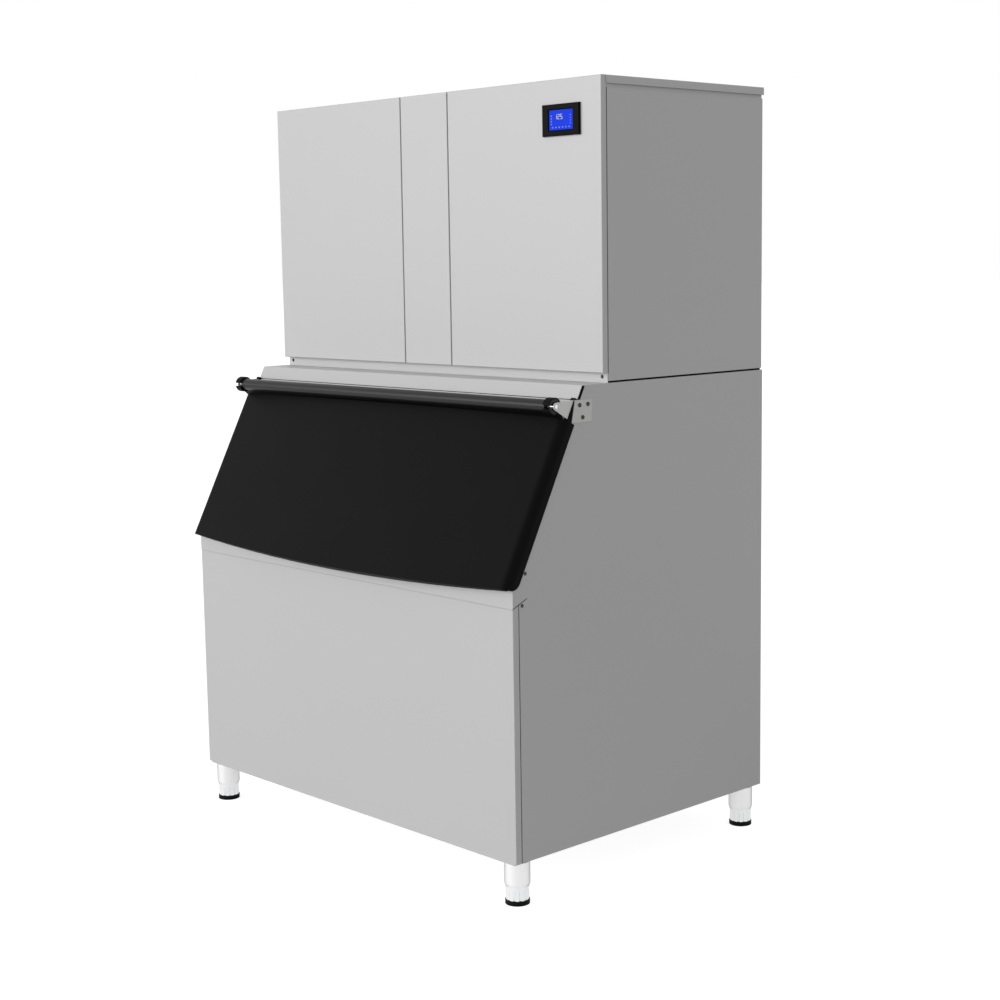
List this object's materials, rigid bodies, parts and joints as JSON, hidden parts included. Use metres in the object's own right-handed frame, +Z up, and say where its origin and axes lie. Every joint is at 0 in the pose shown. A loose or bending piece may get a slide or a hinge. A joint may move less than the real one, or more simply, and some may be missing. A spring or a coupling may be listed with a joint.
{
  "type": "modular commercial ice machine with storage bin",
  "caption": "Wide stainless ice machine on an insulated bin with a sloping crowned black lift-up door, hinge barrel, control display, fluted levelling feet and the ice-making parts inside.",
  "frame": {"origin": "on the floor under the centre of the outer box", "axes": "+X to the right-hand side seen from the front, -Y to the front with the door, +Z up"},
  "size_m": [1.228, 0.9452, 1.863],
  "materials": {
    "steel_panel": "fine brushed stainless sheet",
    "steel_bright": "polished stainless",
    "steel_galvanised": "galvanised sheet",
    "door_plastic": "fine grained black moulding",
    "trim_plastic": "smooth black moulding",
    "liner_plastic": "smooth pale moulding",
    "foam": "dark cut foam",
    "rubber_black": "matte",
    "display_glass": "clear over a lit blue panel",
    "evaporator_metal": "tin plated copper",
    "compressor_paint": "satin black",
    "condenser_fin": "plain",
    "curtain_plastic": "clear grey moulding",
    "pump_plastic": "smooth",
    "control_plastic": "smooth",
    "brass_fitting": "machined",
    "drain_plastic": "smooth grey"
  },
  "bodies": {
    "cabinet": {"base_frame": "steel_galvanised", "bin_back": "steel_galvanised", "bin_bottom": "steel_galvanised", "bin_deck": "steel_panel", "bin_facia": "steel_panel", "bin_insulation": "foam", "bin_liner": "liner_plastic", "bin_side_left": "steel_panel", "bin_side_right": "steel_panel", "bulkhead": "liner_plastic", "cabinet_screws": "steel_bright", "compressor": "compressor_paint", "compressor_grommets": "rubber_black", "condenser": "condenser_fin", "control_box": "control_plastic", "curtain_rod": "steel_bright", "display_bezel": "trim_plastic", "display_screen": "display_glass", "drain_outlet": "drain_plastic", "edge_strips": "trim_plastic", "evaporator_left": "evaporator_metal", "evaporator_right": "evaporator_metal", "fan_motor": "compressor_paint", "fan_shroud": "steel_galvanised", "front_panel": "steel_panel", "front_panel_centre": "steel_panel", "front_panel_left": "steel_panel", "front_panel_right": "steel_panel", "head_back": "steel_galvanised", "head_base": "steel_panel", "head_cap": "steel_panel", "head_frame": "steel_galvanised", "head_seal": "rubber_black", "head_side_left": "steel_panel", "head_side_right": "steel_panel", "hinge_ears": "steel_panel", "hinge_pins": "steel_bright", "hinge_plates": "steel_galvanised", "hinge_rivets": "steel_galvanised", "legs": "steel_bright", "power_gland": "trim_plastic", "sill_panel": "steel_panel", "water_inlet": "brass_fitting", "water_pump": "pump_plastic", "water_trough": "liner_plastic", "water_tubes": "liner_plastic"},
    "door": {"door_shell": "door_plastic", "door_liner": "liner_plastic", "door_insulation": "foam"},
    "fan": {"fan_blade": "trim_plastic"},
    "curtain_a": {"curtain_left": "curtain_plastic"},
    "curtain_b": {"curtain_right": "curtain_plastic"},
    "foot_front_left": {"foot_front_left": "steel_bright", "foot_pad_front_left": "rubber_black"},
    "foot_front_right": {"foot_front_right": "steel_bright", "foot_pad_front_right": "rubber_black"},
    "foot_back_left": {"foot_back_left": "steel_bright", "foot_pad_back_left": "rubber_black"},
    "foot_back_right": {"foot_back_right": "steel_bright", "foot_pad_back_right": "rubber_black"}
  },
  "joints": [
    {"name": "door_hinge", "type": "hinge", "parent": "cabinet", "child": "door", "pos_m": [0, -0.27842, 1.13], "axis": [-1, 0, 0], "range_deg": [0, 165]},
    {"name": "curtain_left_swing", "type": "hinge", "parent": "cabinet", "child": "curtain_a", "pos_m": [-0.445, 0.10858, 1.766], "axis": [-1, 0, 0], "range_deg": [0, 20]},
    {"name": "curtain_right_swing", "type": "hinge", "parent": "cabinet", "child": "curtain_b", "pos_m": [-0.127, 0.10858, 1.766], "axis": [-1, 0, 0], "range_deg": [0, 20]},
    {"name": "fan_spin", "type": "hinge", "parent": "cabinet", "child": "fan", "pos_m": [0.348, 0.32458, 1.538], "axis": [0, 1, 0], "continuous": true},
    {"name": "foot_front_left_screw", "type": "slide", "parent": "cabinet", "child": "foot_front_left", "axis": [0, 0, -1], "range_m": [0, 0.025]},
    {"name": "foot_front_right_screw", "type": "slide", "parent": "cabinet", "child": "foot_front_right", "axis": [0, 0, -1], "range_m": [0, 0.025]},
    {"name": "foot_back_left_screw", "type": "slide", "parent": "cabinet", "child": "foot_back_left", "axis": [0, 0, -1], "range_m": [0, 0.025]},
    {"name": "foot_back_right_screw", "type": "slide", "parent": "cabinet", "child": "foot_back_right", "axis": [0, 0, -1], "range_m": [0, 0.025]}
  ]
}
